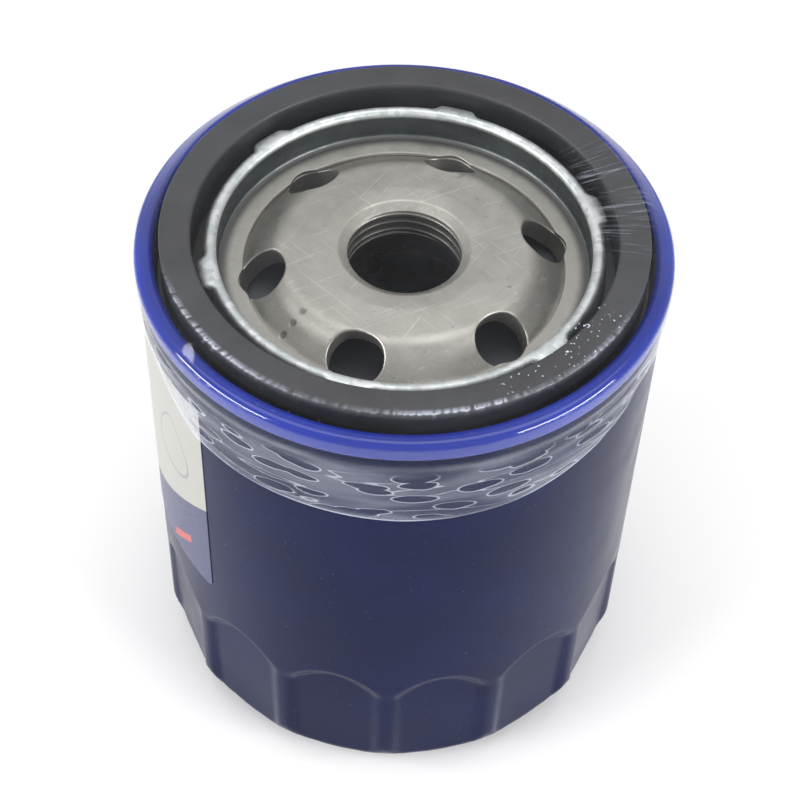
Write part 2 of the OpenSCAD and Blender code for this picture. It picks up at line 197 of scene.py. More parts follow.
class Look:
    """A material's node tree, with short calls for the nodes it is built from."""

    def __init__(self, name):
        self.material = bpy.data.materials.new(name)
        self.material.use_nodes = True
        self.nodes = self.material.node_tree.nodes
        self.links = self.material.node_tree.links
        self.nodes.clear()
        self.out = self.nodes.new("ShaderNodeOutputMaterial")
        self.place = self.nodes.new("ShaderNodeTexCoord").outputs["Object"]

    def feed(self, socket, value):
        """Links a socket to another node's output, or gives it a plain value."""
        if isinstance(value, bpy.types.NodeSocket):
            self.links.new(value, socket)
        else:
            socket.default_value = value

    def put(self, node, inputs):
        for name, value in inputs.items():
            self.feed(node.inputs[name], value)
        return node

    def node(self, kind, inputs, **settings):
        node = self.nodes.new("ShaderNode" + kind)
        for key, value in settings.items():
            setattr(node, key, value)
        return self.put(node, inputs)

    def math(self, operation, a, b=0.0, c=0.0):
        node = self.node("Math", {}, operation=operation)
        return self.put(node, {0: a, 1: b, 2: c}).outputs[0]

    def times(self, first, *others):
        """The product of two or more values."""
        for other in others:
            first = self.math("MULTIPLY", first, other)
        return first

    def gap(self, value, centre):
        """How far value is from centre, either way."""
        return self.math("ABSOLUTE", self.math("SUBTRACT", value, centre))

    def scaled(self, x, y, z, turn=0.0):
        """The place, turned about the axis and then stretched."""
        inputs = {"Vector": self.place, "Angle": turn}
        turned = self.node("VectorRotate", inputs, rotation_type="Z_AXIS")
        inputs = {0: turned.outputs[0], 1: (x, y, z)}
        return self.node("VectorMath", inputs, operation="MULTIPLY").outputs[0]

    def noise(self, scale, detail=2.0, rough=0.5, vector=None, distortion=0.0):
        inputs = {
            "Vector": vector or self.place,
            "Scale": scale,
            "Detail": detail,
            "Roughness": rough,
            "Distortion": distortion,
        }
        return self.node("TexNoise", inputs).outputs["Fac"]

    def band(self, value, low, high, to_low=0.0, to_high=1.0):
        inputs = {"Value": value, 1: low, 2: high, 3: to_low, 4: to_high}
        return self.node("MapRange", inputs, interpolation_type="SMOOTHSTEP").outputs[0]

    def mix(self, factor, a, b):
        node = self.nodes.new("ShaderNodeMix")
        node.data_type = "RGBA"
        sockets = [s for s in node.inputs if s.type == "RGBA"]
        for socket, value in ((node.inputs[0], factor), (sockets[0], a), (sockets[1], b)):
            self.feed(socket, value)
        return [s for s in node.outputs if s.type == "RGBA"][0]

    def lay(self, tint, amount, where, colour):
        """Lays a tint over a colour, with its full amount where `where` is 1."""
        return self.mix(self.times(where, amount), colour, tint)

    def bump(self, height, distance, strength, normal=None):
        """A normal for marks that are distance millimetres deep."""
        inputs = {"Height": height, "Distance": distance * MM, "Strength": strength}
        if normal is not None:
            inputs["Normal"] = normal
        return self.node("Bump", inputs).outputs[0]

    def finish(self, **inputs):
        shader = self.node("BsdfPrincipled", {k.replace("_", " "): v for k, v in inputs.items()})
        return self.surface(shader)

    def surface(self, shader):
        self.links.new(shader.outputs[0], self.out.inputs["Surface"])
        return self.material

    def height_mm(self):
        axes = self.node("SeparateXYZ", {"Vector": self.place})
        return self.math("DIVIDE", axes.outputs[2], MM)

    def flat_mm(self):
        """The place in millimetres, with its height left out."""
        inputs = {0: self.place, 1: (1 / MM, 1 / MM, 0.0)}
        return self.node("VectorMath", inputs, operation="MULTIPLY").outputs[0]

    def length(self, vector):
        return self.node("VectorMath", {0: vector}, operation="LENGTH").outputs["Value"]

    def radius_mm(self):
        return self.length(self.flat_mm())

    def angle_deg(self):
        """The angle from the front, in degrees, towards +X."""
        axes = self.node("SeparateXYZ", {"Vector": self.place})
        back = self.math("MULTIPLY", axes.outputs[1], -1.0)
        turn = self.math("ARCTAN2", axes.outputs[0], back)
        return self.math("MULTIPLY", turn, 180.0 / math.pi)


def rgb(r, g, b):
    return (r, g, b, 1.0)


def lighter(colour):
    return rgb(*(c * 1.3 for c in colour[:3]))


def blue_enamel(name, deep, bright, gloss, rough):
    """Glossy paint with faint orange peel and a little dust."""
    look = Look(name)
    patch = look.noise(60.0, 3.0)
    colour = look.mix(look.band(patch, 0.35, 0.7), deep, bright)
    dust = look.band(look.noise(2600.0, 1.0), 0.76, 0.8)
    colour = look.lay(rgb(0.35, 0.38, 0.5), 0.25, dust, colour)
    peel = look.noise(900.0, 2.0)
    return look.finish(
        Base_Color=colour,
        Roughness=look.band(look.noise(140.0, 2.0), 0.3, 0.75, *rough),
        Specular_IOR_Level=gloss,
        Normal=look.bump(peel, 0.012, 0.5),
    )


def scratches(look, turn, length_scale, cross_scale, low, high):
    """Thin straight marks that run one way."""
    stretched = look.scaled(length_scale, cross_scale, cross_scale, turn)
    return look.band(look.noise(1.0, 1.0, vector=stretched), low, high)


def zinc_plate(name):
    look = Look(name)
    spangle = look.node("TexVoronoi", {"Vector": look.place, "Scale": 900.0, "Randomness": 1.0})
    shade = look.node("SeparateColor", {"Color": spangle.outputs["Color"]}).outputs[0]
    colour = look.mix(look.band(shade, 0.0, 1.0), rgb(0.58, 0.62, 0.62), rgb(0.78, 0.8, 0.79))
    stain = look.band(look.noise(180.0, 4.0, 0.6), 0.45, 0.7)
    colour = look.lay(rgb(0.46, 0.45, 0.42), 0.35, stain, colour)
    radius, height = look.radius_mm(), look.height_mm()
    floor = look.band(height, GROOVE_Z + 0.5, GROOVE_Z + 0.1)
    colour = look.lay(rgb(0.37, 0.35, 0.305), 0.85, floor, colour)
    # Painted shade: darker in the corner where the lid's low flat meets the crest's inner wall.
    corner = look.band(radius, CREST_IN - 2.06, CREST_IN - 0.46)
    colour = look.lay(rgb(0.08, 0.08, 0.078), 0.9, look.times(floor, corner), colour)
    # Painted shade: the crest's inner wall, above the low flat and below the crest's top, is darkened.
    inside = look.band(radius, CREST_IN + 0.7, CREST_IN + 0.3)
    wall = look.band(height, GROOVE_Z + 0.02, GROOVE_Z + 0.5)
    below = look.band(height, CREST_TOP - 0.6, CREST_TOP - 1.2)
    crest_wall_shade = look.times(inside, wall, below)
    colour = look.lay(rgb(0.02, 0.03, 0.033), 0.93, crest_wall_shade, colour)
    rub = scratches(look, 0.4, 90.0, 2600.0, 0.56, 0.72)
    rough = look.band(look.noise(500.0, 3.0), 0.3, 0.7, 0.4, 0.54)
    rough = look.math("MULTIPLY_ADD", rub, 0.1, rough)
    return look.finish(
        Base_Color=colour,
        Metallic=0.9,
        Roughness=rough,
        Normal=look.bump(look.noise(1500.0, 3.0, 0.6), 0.02, 0.5),
    )


def punched_dots(look):
    """Three small dots in a row, punched in the plate's slope left of its front."""
    dots = 0.0
    for reach in (18.6, 20.4, 22.2):
        inputs = {0: look.flat_mm(), 1: tuple(place(reach, -47.5, 0.0))}
        away = look.node("VectorMath", inputs, operation="DISTANCE").outputs["Value"]
        dots = look.math("MAXIMUM", dots, look.band(away, 0.65, 0.25))
    return dots


def stamped_plate(name):
    look = Look(name)
    cloud = look.noise(95.0, 4.0, 0.6)
    colour = look.mix(look.band(cloud, 0.3, 0.7), rgb(0.385, 0.367, 0.328), rgb(0.465, 0.447, 0.403))
    fine = look.noise(1400.0, 3.0, 0.7)
    colour = look.mix(look.band(fine, 0.35, 0.7, 0.0, 0.2), colour, rgb(0.32, 0.31, 0.285))
    rust = look.band(look.noise(420.0, 2.0, 0.5, distortion=0.4), 0.7, 0.78)
    colour = look.lay(rgb(0.17, 0.13, 0.09), 0.45, rust, colour)
    marks = scratches(look, 0.75, 60.0, 2600.0, 0.68, 0.74)
    marks = look.math("MAXIMUM", marks, scratches(look, -0.5, 45.0, 2900.0, 0.68, 0.74))
    marks = look.math("MAXIMUM", marks, scratches(look, 2.1, 80.0, 2400.0, 0.7, 0.76))
    colour = look.lay(rgb(0.8, 0.79, 0.75), 0.24, marks, colour)
    pits = look.band(look.noise(2300.0, 1.0), 0.74, 0.79)
    colour = look.lay(rgb(0.12, 0.115, 0.1), 0.6, pits, colour)
    dots = punched_dots(look)
    colour = look.lay(rgb(0.12, 0.115, 0.105), 0.6, dots, colour)
    # Painted shade: dark inside the threaded bore, below its mouth.
    bore = look.band(look.radius_mm(), COLLAR_R, THREAD_MINOR + 1.1)
    deep = look.band(look.height_mm(), PLATE_TOP - 0.9, PLATE_TOP - 2.6)
    colour = look.lay(rgb(0.045, 0.042, 0.038), 0.8, look.times(bore, deep), colour)
    rough = look.band(look.noise(260.0, 4.0, 0.65), 0.3, 0.7, 0.36, 0.5)
    height = look.math("MULTIPLY_ADD", marks, -0.3, fine)
    height = look.math("MULTIPLY_ADD", dots, -9.0, height)
    return look.finish(
        Base_Color=colour,
        Metallic=0.9,
        Roughness=rough,
        Normal=look.bump(height, 0.02, 0.5),
    )


def dark_rubber(name, base, rough, face_z):
    """Black rubber, greyer on the face at face_z than on the walls under it, which are darkened as
    painted shade.
    """
    look = Look(name)
    cloud = look.noise(160.0, 4.0, 0.6)
    colour = look.mix(look.band(cloud, 0.3, 0.7), base, lighter(base))
    # Painted shade: the walls under the face are darkened.
    side_shade = look.band(look.height_mm(), face_z - 0.35, face_z - 1.0)
    colour = look.lay(rgb(0.004, 0.0045, 0.005), 0.85, side_shade, colour)
    dust = look.band(look.noise(3000.0, 1.0), 0.79, 0.83)
    colour = look.lay(rgb(0.5, 0.5, 0.5), 0.4, dust, colour)
    return look.finish(
        Base_Color=colour,
        Roughness=look.band(cloud, 0.3, 0.7, *rough),
        Normal=look.bump(look.noise(1300.0, 2.0, 0.5), 0.004, 0.4),
    )


def plain_steel(name, dark, light, rough):
    look = Look(name)
    cloud = look.noise(240.0, 4.0, 0.6)
    grain = scratches(look, 0.0, 300.0, 3000.0, 0.35, 0.7)
    colour = look.mix(look.band(cloud, 0.3, 0.7), dark, light)
    colour = look.lay(dark, 0.2, grain, colour)
    return look.finish(
        Base_Color=colour,
        Metallic=0.95,
        Roughness=look.band(cloud, 0.3, 0.7, *rough),
        Normal=look.bump(grain, 0.01, 0.4),
    )


def filter_paper(name):
    look = Look(name)
    fibre = look.noise(1.0, 4.0, 0.7, vector=look.scaled(2600.0, 2600.0, 900.0))
    cloud = look.noise(120.0, 3.0)
    colour = look.mix(look.band(cloud, 0.3, 0.7), rgb(0.55, 0.4, 0.17), rgb(0.7, 0.54, 0.28))
    colour = look.mix(look.band(fibre, 0.45, 0.75, 0.0, 0.4), colour, rgb(0.82, 0.7, 0.45))
    return look.finish(
        Base_Color=colour,
        Roughness=look.band(fibre, 0.3, 0.7, 0.75, 0.92),
        Normal=look.bump(fibre, 0.05, 0.7),
    )


def cured_paste(name, base):
    look = Look(name)
    cloud = look.noise(300.0, 3.0)
    return look.finish(
        Base_Color=look.mix(look.band(cloud, 0.3, 0.7), base, lighter(base)),
        Roughness=look.band(cloud, 0.3, 0.7, 0.5, 0.68),
        Normal=look.bump(cloud, 0.06, 0.6),
    )


def label_print(name):
    """Cream above a slanting edge, violet-blue below it, a red stroke and an oil drop's outline."""
    look = Look(name)
    angle = look.angle_deg()
    height = look.height_mm()
    across = look.math("SUBTRACT", angle, LABEL_LAST)
    grain = look.noise(1.0, 3.0, 0.6, vector=look.scaled(1800.0, 1800.0, 1800.0))
    speckle = look.band(grain, 0.35, 0.7)
    cream = look.mix(speckle, rgb(0.33, 0.33, 0.305), rgb(0.375, 0.37, 0.338))
    violet = look.mix(speckle, rgb(0.021, 0.026, 0.095), rgb(0.031, 0.036, 0.125))

    border = look.math("MULTIPLY_ADD", across, 0.37, 53.0)
    border = look.math("MAXIMUM", border, 36.0)
    below = look.band(look.math("SUBTRACT", border, height), -0.08, 0.08)
    colour = look.mix(below, cream, violet)

    stroke = look.math("MULTIPLY_ADD", across, 0.5, 44.6)
    thick = look.gap(height, stroke)
    span = look.gap(angle, -58.0)
    red = look.times(look.band(thick, 1.0, 0.75), look.band(span, 4.6, 4.2))
    colour = look.mix(red, colour, rgb(0.45, 0.05, 0.06))

    mm_per_deg = 0.66
    drop_x = look.times(look.math("SUBTRACT", angle, -59.0), mm_per_deg)
    drop_z = look.math("SUBTRACT", height, 60.5)
    narrow = look.math("MULTIPLY_ADD", drop_z, -0.07, 1.0)
    drop_x = look.math("DIVIDE", drop_x, look.math("MAXIMUM", narrow, 0.15))
    flat = look.node("CombineXYZ", {0: drop_x, 1: look.times(drop_z, 0.72)})
    away = look.length(flat.outputs[0])
    outline = look.band(look.gap(away, 4.2), 0.24, 0.12)
    colour = look.lay(rgb(0.16, 0.2, 0.24), 0.75, outline, colour)
    return look.finish(
        Base_Color=colour,
        Roughness=look.band(grain, 0.3, 0.7, 0.34, 0.44),
        Coat_Weight=0.2,
        Coat_Roughness=0.15,
        Normal=look.bump(grain, 0.006, 0.4),
    )


def film_ovals(look, cling):
    """Where the film is stuck down in ovals, and the painted highlight line round each of them."""
    sway = look.math("MULTIPLY_ADD", look.noise(110.0, 2.0), 1.2, -0.6)
    sway = look.node("CombineXYZ", {2: sway}).outputs[0]
    inputs = {0: look.scaled(132.0, 132.0, 500.0), 1: sway}
    warped = look.node("VectorMath", inputs, operation="ADD").outputs[0]
    cells = look.node("TexVoronoi", {"Vector": warped, "Scale": 1.0, "Randomness": 0.9})
    away = cells.outputs["Distance"]
    oval_r = 0.42
    stuck = look.times(look.band(away, oval_r, oval_r - 0.05), cling)
    rim_highlight = look.band(look.gap(away, oval_r), 0.032, 0.008)
    return stuck, look.times(rim_highlight, cling, 0.34)


def film_crease_highlights(look, cling):
    """Painted highlights: thin bright lines along creases that run round the skirt."""
    folds = look.noise(1.0, 1.0, vector=look.scaled(42.0, 42.0, 520.0))
    return look.times(look.band(look.gap(folds, 0.5), 0.014, 0.004), cling, 0.3)


def film_spokes(look, radius, angle):
    """Stretch marks across the groove on the filter's right-hand side."""
    spokes = look.node("CombineXYZ", {0: angle, 1: look.times(radius, 0.1)})
    spokes = look.noise(1.0, 3.0, 0.6, vector=spokes.outputs[0], distortion=0.5)
    side = look.band(look.gap(angle, 104.0), 26.0, 8.0)
    ring = look.band(look.gap(radius, 31.5), 5.5, 3.0)
    return look.times(look.band(spokes, 0.5, 0.74), side, ring, 0.3)


def film_specks(look, radius, angle):
    """Dust on the film, thickest over the gasket's front right."""
    side = look.band(look.gap(angle, 44.0), 24.0, 12.0)
    ring = look.band(look.gap(radius, 32.0), 3.5, 1.5)
    thick = look.math("MULTIPLY_ADD", look.times(ring, side), 0.8, 0.03)
    return look.times(look.band(look.noise(2000.0, 1.0), 0.69, 0.72), thick)


def clear_film(name):
    """See-through where it is stretched; hazy, creased and stuck down in ovals on its skirt, with
    painted highlights along creases, round the ovals and on the gasket's front edge.
    """
    look = Look(name)
    haze = look.node("Attribute", {}, attribute_name="haze").outputs["Fac"]
    cling = look.node("Attribute", {}, attribute_name="cling").outputs["Fac"]
    stuck, outline = film_ovals(look, cling)
    crease_highlights = look.times(film_crease_highlights(look, cling), look.math("SUBTRACT", 1.0, stuck))
    drape = look.noise(1.0, 2.0, vector=look.scaled(60.0, 60.0, 230.0))
    drape = look.band(drape, 0.35, 0.65, 0.35, 1.7)
    loose = look.math("MULTIPLY_ADD", stuck, -0.85, 1.0)
    amount = look.times(haze, drape, loose)
    # The oval outlines and crease lines are painted highlights, laid in as haze.
    amount = look.math("ADD", amount, look.math("MAXIMUM", outline, crease_highlights))
    radius, angle = look.radius_mm(), look.angle_deg()
    amount = look.math("ADD", amount, film_spokes(look, radius, angle))
    amount = look.math("ADD", amount, film_specks(look, radius, angle))
    amount = look.math("MINIMUM", amount, 0.95)

    crinkle = look.bump(look.noise(420.0, 2.0), 0.03, 0.3)
    crinkle = look.bump(stuck, 0.1, 0.6, crinkle)
    inputs = {"Color": rgb(0.97, 0.98, 1.0), "Roughness": 0.04, "Normal": crinkle}
    gloss = look.node("BsdfGlossy", inputs)
    see = look.node("BsdfTransparent", {"Color": rgb(0.985, 0.99, 1.0)})
    slant = look.node("LayerWeight", {"Blend": 0.5, "Normal": crinkle}).outputs["Facing"]
    mirror = look.math("MULTIPLY_ADD", look.math("POWER", slant, 5.0), 0.8, 0.014)
    clear = look.node("MixShader", {0: mirror, 1: see.outputs[0], 2: gloss.outputs[0]})
    inputs = {"Base Color": rgb(0.62, 0.66, 0.78), "Roughness": 0.3}
    milky_haze_and_highlight = look.node("BsdfPrincipled", inputs)
    film = look.node("MixShader", {0: amount, 1: clear.outputs[0], 2: milky_haze_and_highlight.outputs[0]})
    return look.surface(film)


BODY_BLUE = blue_enamel(
    "body_blue", rgb(0.0024, 0.005, 0.036), rgb(0.0034, 0.0066, 0.047), gloss=0.1, rough=(0.18, 0.26)
)
BEAD_BLUE = blue_enamel(
    "bead_blue", rgb(0.008, 0.022, 0.24), rgb(0.011, 0.03, 0.31), gloss=0.6, rough=(0.03, 0.07)
)
ZINC = zinc_plate("zinc")
PLATE = stamped_plate("plate")
GASKET_RUBBER = dark_rubber("gasket_black", rgb(0.033, 0.033, 0.035), (0.4, 0.5), GASKET_TOP)
VALVE_RUBBER = dark_rubber("valve_black", rgb(0.055, 0.06, 0.07), (0.32, 0.44), PLATE_UNDER - 0.9)
TIN = plain_steel("tin", rgb(0.42, 0.39, 0.33), rgb(0.6, 0.57, 0.5), (0.3, 0.42))
TUBE_STEEL = plain_steel("tube", rgb(0.35, 0.36, 0.37), rgb(0.5, 0.51, 0.52), (0.3, 0.45))
VALVE_STEEL = plain_steel("valve_plate", rgb(0.45, 0.45, 0.43), rgb(0.62, 0.62, 0.6), (0.25, 0.36))
WIRE = plain_steel("wire", rgb(0.24, 0.24, 0.25), rgb(0.4, 0.4, 0.41), (0.24, 0.36))
WELD = plain_steel("weld", rgb(0.22, 0.19, 0.17), rgb(0.42, 0.4, 0.38), (0.35, 0.5))
PAPER = filter_paper("paper")
PASTE = cured_paste("bond", rgb(0.5, 0.36, 0.12))
SEALANT = cured_paste("seam_compound", rgb(0.13, 0.13, 0.14))
PRINT = label_print("print")
FILM = clear_film("film")


def dress(node, material):
    """Gives a CAD node that keeps its shape a better material."""
    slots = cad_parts[node].data.materials
    slots.clear()
    slots.append(material)


def stand_in(obj, node, body, slot, *materials):
    """obj takes the place of a CAD node."""
    for material in materials:
        obj.data.materials.append(material)
    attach(obj, body)
    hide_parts(node)
    return obj


# ---------------------------------------------------------------- the can


def flute_cut(angle, z, wall_r, inset):
    """How far the flutes cut in from a wall at wall_r, inset from the outer face."""
    pitch = 360.0 / FLUTES
    ridge_r = CAN_R - 0.15
    arch_rise = 3.6
    runout_length = 3.0
    draft = 0.35
    soft = 0.3
    off = np.abs((angle % pitch) - pitch / 2)
    flat = (CAN_R - FLUTE_DEPTH) / np.cos(np.radians(off))
    ridge = smooth(8.8, 12.4, off)
    flat = flat * (1 - ridge) + ridge_r * ridge
    arch = FLUTE_TOP - arch_rise * np.minimum(off / 10.0, 1.0) ** 2
    runout = smooth(arch, arch - runout_length, z)
    foot = draft * (1 - ridge) * smooth(24.0, 0.0, z)
    target = CAN_R + (flat - foot - CAN_R) * runout
    over = wall_r + inset - target
    return np.where(over <= 0, 0.0, np.where(over < soft, over**2 / (2 * soft), over - soft / 2))


def can_wall(inset):
    """The can's wall from the middle of its closed end up to its neck."""
    corner_r = 7.0
    corners = [
        (0.0, inset),
        (20.0, inset, 3.0),
        (26.0, 0.25 + inset, 3.0),
        (CAN_R - inset, 1.2 + inset, corner_r - inset),
        (CAN_R - inset, 30.0),
    ]
    foot = filleted(corners, closed=False, step=5.0)
    lower = np.linspace(9.0, 30.0, 56)
    upper = np.array([40.0, 55.0, 70.0])
    kept = foot[foot[:, 1] < 8.9]
    straight = np.concatenate([lower, upper])
    return np.concatenate([kept, np.stack([np.full(len(straight), CAN_R - inset), straight], axis=1)])


def make_can():
    columns = FLUTES * 34
    hook_out = SEAM_R - LID_T - 0.03
    hook_in = hook_out - CAN_T
    neck_out = hook_in - LID_T - 0.06
    neck_in = neck_out - CAN_T
    top = SEAM_TOP - LID_T - 0.03
    hook_end = SEAM_TOP - 2.35
    neck = filleted(
        [
            (CAN_R, 70.0),
            (CAN_R, SEAM_TOP - 5.1, 1.6),
            (neck_out, SEAM_TOP - 3.6, 1.0),
            (neck_out, top - CAN_T),
            (hook_in, top - CAN_T),
            (hook_in, hook_end),
            (hook_out, hook_end),
            (hook_out, top, 0.4),
            (neck_in, top, 0.4),
            (neck_in, SEAM_TOP - 3.8, 0.8),
            (CAN_R - CAN_T, SEAM_TOP - 5.2, 1.2),
            (CAN_R - CAN_T, 70.0),
        ],
        closed=False,
    )
    outer = can_wall(0.0)
    inner = can_wall(CAN_T)[::-1]
    outline = np.concatenate([outer, neck[1:-1], inner])
    inset = np.concatenate([np.zeros(len(outer) + len(neck) - 2), np.full(len(inner), CAN_T)])[:, None]
    r = outline[:, 0][:, None]
    z = outline[:, 1][:, None]
    angles = ring_angles(columns)[None, :]
    cut = np.where(z < 32.0, flute_cut(angles, z, r, inset), 0.0)
    grid = place(r - cut, angles, z)
    return mesh_object("painted_can", [(grid, False, True)], sharp_deg=60.0)


# ------------------------------------------------------------- the seaming lid


def notch_edge(angle):
    """The lid's inner edge, which gives way round each inlet hole."""
    place_r = INLET_PLACE_R + 0.5
    notch_r = 2.9
    pitch = 360.0 / INLETS
    off = np.radians(np.abs(turn_gap(angle, INLET_ANGLE) % pitch))
    off = np.minimum(off, math.radians(pitch) - off)
    inside = np.maximum(notch_r**2 - (place_r * np.sin(off)) ** 2, 0.0)
    reach = np.where(inside > 0, place_r * np.cos(off) + np.sqrt(inside), 0.0)
    soft = 0.7
    blend = np.clip(0.5 + 0.5 * (reach - LID_IN) / soft, 0, 1)
    return LID_IN + (reach - LID_IN) * blend + soft * blend * (1 - blend)


def tab_bulge(angle):
    """How far a hold tab pushes the crest out, from 0 to 1."""
    pitch = 360.0 / INLETS
    off = np.abs((turn_gap(angle, INLET_ANGLE + 3.5) + pitch / 2) % pitch - pitch / 2)
    return smooth(7.4, 4.2, off)


def make_lid():
    fold = CREST_IN + LID_T
    fold_out = CREST_OUT - LID_T
    chuck_out = 35.98
    chuck_in = chuck_out - LID_T
    hook_out = 37.09
    hook_in = hook_out - LID_T
    under = SEAM_TOP - 3.1
    outline = filleted(
        [
            (LID_IN, LID_UNDER, 0.15),
            (fold, LID_UNDER, 0.3),
            (fold, CREST_TOP - LID_T, 0.3),
            (fold_out, CREST_TOP - LID_T, 0.3),
            (fold_out, LID_UNDER, 0.3),
            (chuck_out, LID_UNDER, 0.5),
            (chuck_out, SEAM_TOP - LID_T),
            (SEAM_R - LID_T, SEAM_TOP - LID_T),
            (SEAM_R - LID_T, under + LID_T),
            (hook_out, under + LID_T),
            (hook_out, SEAM_TOP - 1.3),
            (hook_in, SEAM_TOP - 1.3),
            (hook_in, under, 0.25),
            (SEAM_R, under, 0.7),
            (SEAM_R, SEAM_TOP, 1.1),
            (chuck_in, SEAM_TOP, 1.0),
            (chuck_in, GROOVE_Z, 0.45),
            (CREST_OUT, GROOVE_Z, 0.6),
            (CREST_OUT, CREST_TOP, 0.8),
            (CREST_IN, CREST_TOP, 0.8),
            (CREST_IN, GROOVE_Z, 0.8),
            (LID_IN, GROOVE_Z, 0.22),
        ],
        step=12.0,
    )
    r = outline[:, 0][:, None]
    z = outline[:, 1][:, None]
    angles = ring_angles(600)[None, :]
    edge_zone = 25.2
    pulled = edge_zone - (edge_zone - r) * (edge_zone - notch_edge(angles)) / (edge_zone - LID_IN)
    r_moved = np.where(r < edge_zone, pulled, r)
    middle = (CREST_IN + CREST_OUT) / 2
    outer = np.clip((r - middle) / (CREST_OUT - middle), 0, 1) * (r < CREST_OUT + 0.01)
    lift = smooth(CREST_TOP - 2.9, CREST_TOP - 1.2, z)
    r_moved = r_moved + TAB_REACH * outer * lift * tab_bulge(angles)
    grid = place(r_moved, angles, z)
    lid = mesh_object("rolled_lid", [(grid, True, True)], sharp_deg=50.0)
    lid.data.materials.append(ZINC)
    lid.data.materials.append(BEAD_BLUE)
    painted_from = chuck_in - 0.02
    for face in lid.data.polygons:
        centre = face.center / MM
        reach = math.hypot(centre.x, centre.y)
        face.material_index = int(reach > painted_from and centre.z > GROOVE_Z + 0.6)
    return lid


# ------------------------------------------------------------- the base plate


PLATE_TOP_LINE = filleted(
    [
        (PLATE_R, LID_UNDER),
        (22.9, LID_UNDER, 0.7),
        (18.1, PLATE_TOP - 0.25, 3.6),
        (12.4, PLATE_TOP, 4.0),
        (10.8, PLATE_TOP),
    ],
    closed=False,
    step=4.0,
)[::-1]
PLATE_UNDER_LINE = filleted(
    [
        (PLATE_R, PLATE_UNDER),
        (21.5, PLATE_UNDER, 0.8),
        (17.0, PLATE_TOP - 3.0, 0.9),
        (11.0, PLATE_TOP - 2.7),
    ],
    closed=False,
    step=6.0,
)[::-1]


def plate_top(r):
    return np.interp(r, PLATE_TOP_LINE[:, 0], PLATE_TOP_LINE[:, 1])


def plate_under(r):
    return np.interp(r, PLATE_UNDER_LINE[:, 0], PLATE_UNDER_LINE[:, 1])


# The plate's ring of inlet holes is made as six patches between these two radii.
PLATE_NEAR = 14.4
PLATE_FAR = 25.0
PLATE_ARC = 40
PLATE_SIDE = 16


def inlet_patch(turn):
    """The plate's sixth part round one inlet hole: top, hole wall and underside."""
    half = 180.0 / INLETS
    sweep = np.linspace(-half, half, PLATE_ARC + 1)
    side = np.linspace(PLATE_FAR, PLATE_NEAR, PLATE_SIDE + 1)
    far, near = np.full(PLATE_ARC, PLATE_FAR), np.full(PLATE_ARC, PLATE_NEAR)
    right, left = np.full(PLATE_SIDE, half), np.full(PLATE_SIDE, -half)
    reach = np.concatenate([far, side[:-1], near, side[::-1][:-1]])
    sweep = np.concatenate([sweep[:-1], right, sweep[::-1][:-1], left])
    border = place(reach, turn + sweep, 0.0)[:, :2]
    outward = place(1.0, turn, 0.0)[:2]
    centre = outward * INLET_PLACE_R
    aim = border - centre
    aim /= np.linalg.norm(aim, axis=1)[:, None]
    across = aim @ outward
    hole = aim / np.sqrt((across / INLET_ACROSS) ** 2 + (1 - across**2) / INLET_AROUND**2)[:, None]
    lip = 0.3
    lean = 0.9
    rim = centre + hole + aim * lip
    foot = centre + hole - outward * lean
    top, under = [], []
    for t in np.linspace(1.0, 0.0, 22) ** 1.25:
        flat = rim + (border - rim) * t
        top.append(np.column_stack([flat, plate_top(np.hypot(flat[:, 0], flat[:, 1]))]))
        flat = foot + (border - foot) * t
        under.append(np.column_stack([flat, plate_under(np.hypot(flat[:, 0], flat[:, 1]))]))
    wall = []
    for beta in np.linspace(0.0, math.pi / 2, 6)[1:]:
        flat = centre + hole + aim * lip * (1 - math.sin(beta))
        reach = np.hypot(flat[:, 0], flat[:, 1])
        wall.append(np.column_stack([flat, plate_top(reach) - lip * (1 - math.cos(beta))]))
    high, low = wall[-1], under[-1]
    wall += [high + (low - high) * f for f in (0.25, 0.5, 0.75)]
    return np.array(top + wall + under[::-1])


def thread_reach(angle, z, top, foot):
    """The wall of a right-hand M18 thread, from its minor radius out to its root."""
    runout = 0.4
    turn = (z / THREAD_PITCH - (angle - 90.0) / 360.0) % 1.0
    slope = np.abs(turn - 0.5) * 2
    groove = smooth(0.24, 0.95, slope)
    fade = smooth(top, top - runout, z) * smooth(foot, foot + runout, z)
    return THREAD_MINOR + THREAD_DEPTH * groove * fade


